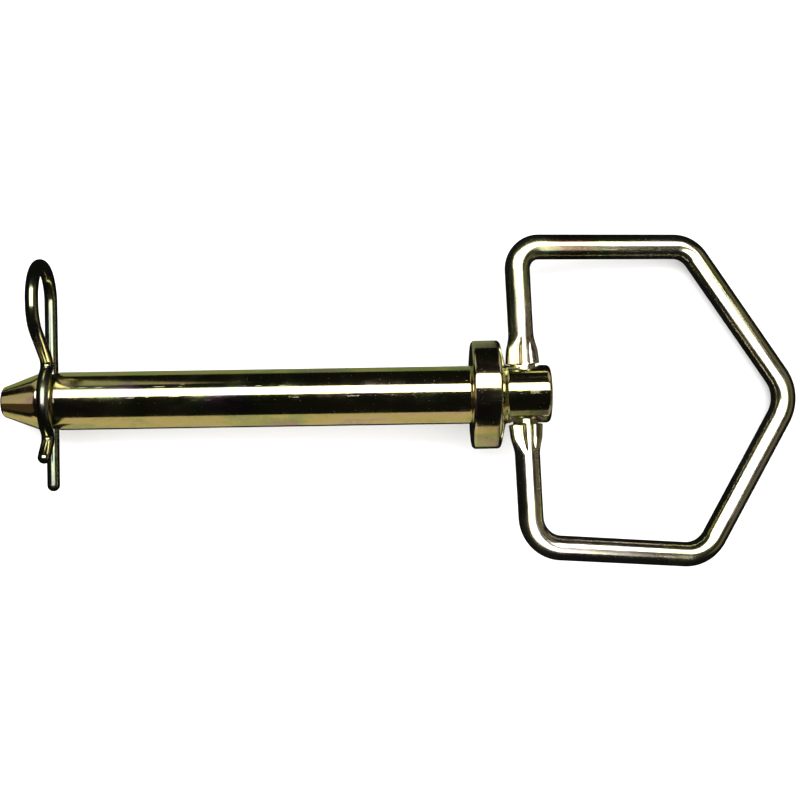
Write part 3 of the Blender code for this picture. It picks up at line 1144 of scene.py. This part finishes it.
@dataclass
class Studio:
    """A white floor, soft boxes in dark surroundings, and a camera that looks down at the pin."""

    axes: Axes
    paper: float = 0.86
    floor_half: float = 4.0
    floor_drop: float = 0.2 * MM
    sky_seen: float = 1.6
    sky_mirrored: float = 0.006
    sky_tint: Colour = (0.9, 0.95, 1.0)
    away: float = 0.70
    camera_place: tuple[float, float, float] = (-15.62 * MM, -0.88 * MM, 287.3 * MM)
    camera_roll: float = 0.9
    lens: float = 58.77
    soft_boxes: tuple[SoftBox, ...] = (
        SoftBox("key", 29.5, 0.0, 0.36, 1.2, 4.6, WHITE, 0.05, LitBy.PIN),
        SoftBox("handle_key", 27.0, 0.0, 0.48, 1.2, 4.0, WHITE, 0.05, LitBy.HANDLE),
        SoftBox("overhead", -13.0, 0.0, 0.73, 0.75, 2.6, WHITE, 0.065, LitBy.HANDLE),
        SoftBox("clip_key", 15.0, 0.0, 0.52, 0.80, 3.0, WHITE, 0.05, LitBy.CLIP),
        SoftBox("low_gold", -107.0, 0.0, 1.05, 0.93, 0.52, GOLD, -0.385, LitBy.PIN),
        SoftBox("low_green", 140.0, 0.0, 0.60, 0.9, 0.26, LIME, -0.39, LitBy.PIN),
        SoftBox("end_right", 0.0, 75.0, 0.90, 0.34, 0.10, AMBER),
        SoftBox("end_left", 22.0, -62.0, 0.40, 0.34, 0.40, CREAM, 0.0, LitBy.PIN),
        SoftBox("end_brown", -25.0, -62.0, 0.50, 0.34, 0.05, BROWN, 0.0, LitBy.PIN),
        SoftBox("back_right", 80.0, 33.0, 0.50, 0.50, 0.40, WARM_WHITE, 0.0, LitBy.PIN),
        SoftBox("back_left", 80.0, -32.0, 0.34, 0.50, 0.40, WARM_WHITE, 0.0, LitBy.PIN),
        SoftBox("front_right", -80.0, 33.0, 0.50, 0.50, 0.40, WARM_WHITE, 0.0, LitBy.PIN),
    )

    def build(self, lit: Mapping[LitBy, Sequence[bpy.types.Object]]) -> None:
        """Make the floor, the lights, the surroundings and the camera.

        Args:
            lit: The pieces that each choice stands for.
        """
        floor = self._floor()
        self._surroundings()
        reached = {choice: bpy.data.collections.new(choice.value) for choice in lit}
        reached[LitBy.PIN].objects.link(floor)
        for choice, pieces in lit.items():
            for piece in pieces:
                reached[choice].objects.link(piece)
        for box in self.soft_boxes:
            lamp = self._light(box)
            lamp.light_linking.receiver_collection = reached.get(box.reaches)
        self._camera()
        bpy.context.scene.view_settings.view_transform = "Standard"

    def _floor(self) -> bpy.types.Object:
        """Lay a plain white floor, which the metal doesn't mirror and which shades nothing.

        Returns:
            The floor.
        """
        mesh = bpy.data.meshes.new("studio_floor")
        corners = np.array([(-1, -1, 0), (1, -1, 0), (1, 1, 0), (-1, 1, 0)]) * self.floor_half
        mesh.from_pydata((corners - (0, 0, self.floor_drop)).tolist(), [], [(0, 1, 2, 3)])
        floor = bpy.data.objects.new("studio_floor", mesh)
        bpy.context.scene.collection.objects.link(floor)
        paper = Shader("white_paper")
        paper.principled.inputs["Base Color"].default_value = (self.paper,) * 3 + (1.0,)
        paper.principled.inputs["Roughness"].default_value = 1.0
        paper.principled.inputs["Specular IOR Level"].default_value = 0.0
        mesh.materials.append(paper.material)
        floor.visible_glossy = False
        floor.visible_shadow = False
        return floor

    def _surroundings(self) -> None:
        """White to the eye and to matt surfaces, and dark where the metal mirrors it."""
        world = bpy.data.worlds.new("studio")
        bpy.context.scene.world = world
        world.use_nodes = True
        world.node_tree.nodes.clear()
        nodes = Nodes(world.node_tree)
        mirrored = nodes.node("ShaderNodeLightPath", {}, {}, "Is Glossy Ray")
        white, dark = (
            nodes.node("ShaderNodeBackground", {}, {"Color": colour, "Strength": strength})
            for colour, strength in ((WHITE, self.sky_seen), (self.sky_tint, self.sky_mirrored))
        )
        choice = nodes.node("ShaderNodeMixShader", {}, {0: mirrored, 1: white, 2: dark})
        end = world.node_tree.nodes.new("ShaderNodeOutputWorld")
        nodes.feed(end.inputs["Surface"], choice)

    def _light(self, box: SoftBox) -> bpy.types.Object:
        """Hang one soft box, whose power is its glow times pi times its area.

        Args:
            box: What the soft box is like.

        Returns:
            The light.
        """
        light = bpy.data.lights.new(box.name, "AREA")
        light.shape = "RECTANGLE"
        light.size, light.size_y = box.length, box.width
        light.energy = box.glow * np.pi * box.length * box.width
        light.color = box.colour
        tilt, lean = np.radians([box.tilt, box.lean])
        towards = unit([np.tan(lean), np.sin(tilt), np.cos(tilt)]) @ self.axes.rows
        across = self.axes.rows[1] if box.lean else np.cross(towards, self.axes.rows[0])
        across = unit(across - towards * (towards @ across))
        place = Matrix(np.array([np.cross(across, towards), across, towards]).T.tolist()).to_4x4()
        along = self.axes.rows[0] * box.shift
        place.translation = Vector(self.axes.origin + towards * self.away + along)
        lamp = bpy.data.objects.new(box.name, light)
        lamp.matrix_world = place
        lamp.visible_camera = False
        bpy.context.scene.collection.objects.link(lamp)
        return lamp

    def _camera(self) -> None:
        """The camera, square to the pin and its handle's bore, above their plane."""
        camera = bpy.data.cameras.new("camera")
        camera.sensor_width = 36.0
        camera.lens = self.lens
        roll = np.radians(self.camera_roll)
        cosine, sine = np.cos(roll), np.sin(roll)
        own = np.array([[cosine, -sine, 0], [sine, cosine, 0], [0, 0, 1]])
        place = Matrix((own @ self.axes.rows).T.tolist()).to_4x4()
        place.translation = Vector(self.axes.place(np.array(self.camera_place)))
        eye = bpy.data.objects.new("camera", camera)
        eye.matrix_world = place
        bpy.context.scene.collection.objects.link(eye)
        bpy.context.scene.camera = eye


# -------------------------------- the whole object


def report(piece: bpy.types.Object) -> None:
    """Say what was built."""
    mesh = piece.data
    LOG.info("%s: %d points, %d faces", piece.name, len(mesh.vertices), len(mesh.polygons))


def main() -> None:
    """Build and dress the pin, the handle and the clip, and set up the studio."""
    logging.basicConfig(level=logging.INFO, format="%(name)s: %(message)s")
    axes = pin_axes()
    record = frame["record"]
    head_end = float(axes.local(named(record["mounts"], "head_end")["pos_m"])[0])
    clip_station = float(axes.local(named(frame["joints"], "spring_leg_open")["pos_m"])[0])

    pin = TurnedPin(axes, head_end, -clip_station).build()
    dress(pin, PIN_ZINC)
    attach(pin, "pin")
    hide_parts("hitch_pin")
    report(pin)

    handle = WireHandle(handle_axes()).build()
    dress(handle, HANDLE_ZINC)
    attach(handle, "handle")
    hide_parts("swivel_handle")
    report(handle)

    clip_maker = HairpinClip(axes, clip_station)
    clip = clip_maker.build()
    dress(clip, CLIP_ZINC)
    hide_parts("clip_straight_leg", "clip_spring_leg")
    clip_maker.height(1.4 * MM)
    clip_maker.height(2.8 * MM)
    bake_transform(clip)
    report(clip)

    Studio(axes).build({LitBy.PIN: [pin], LitBy.HANDLE: [handle], LitBy.CLIP: [clip]})


if __name__ == "__main__":
    main()
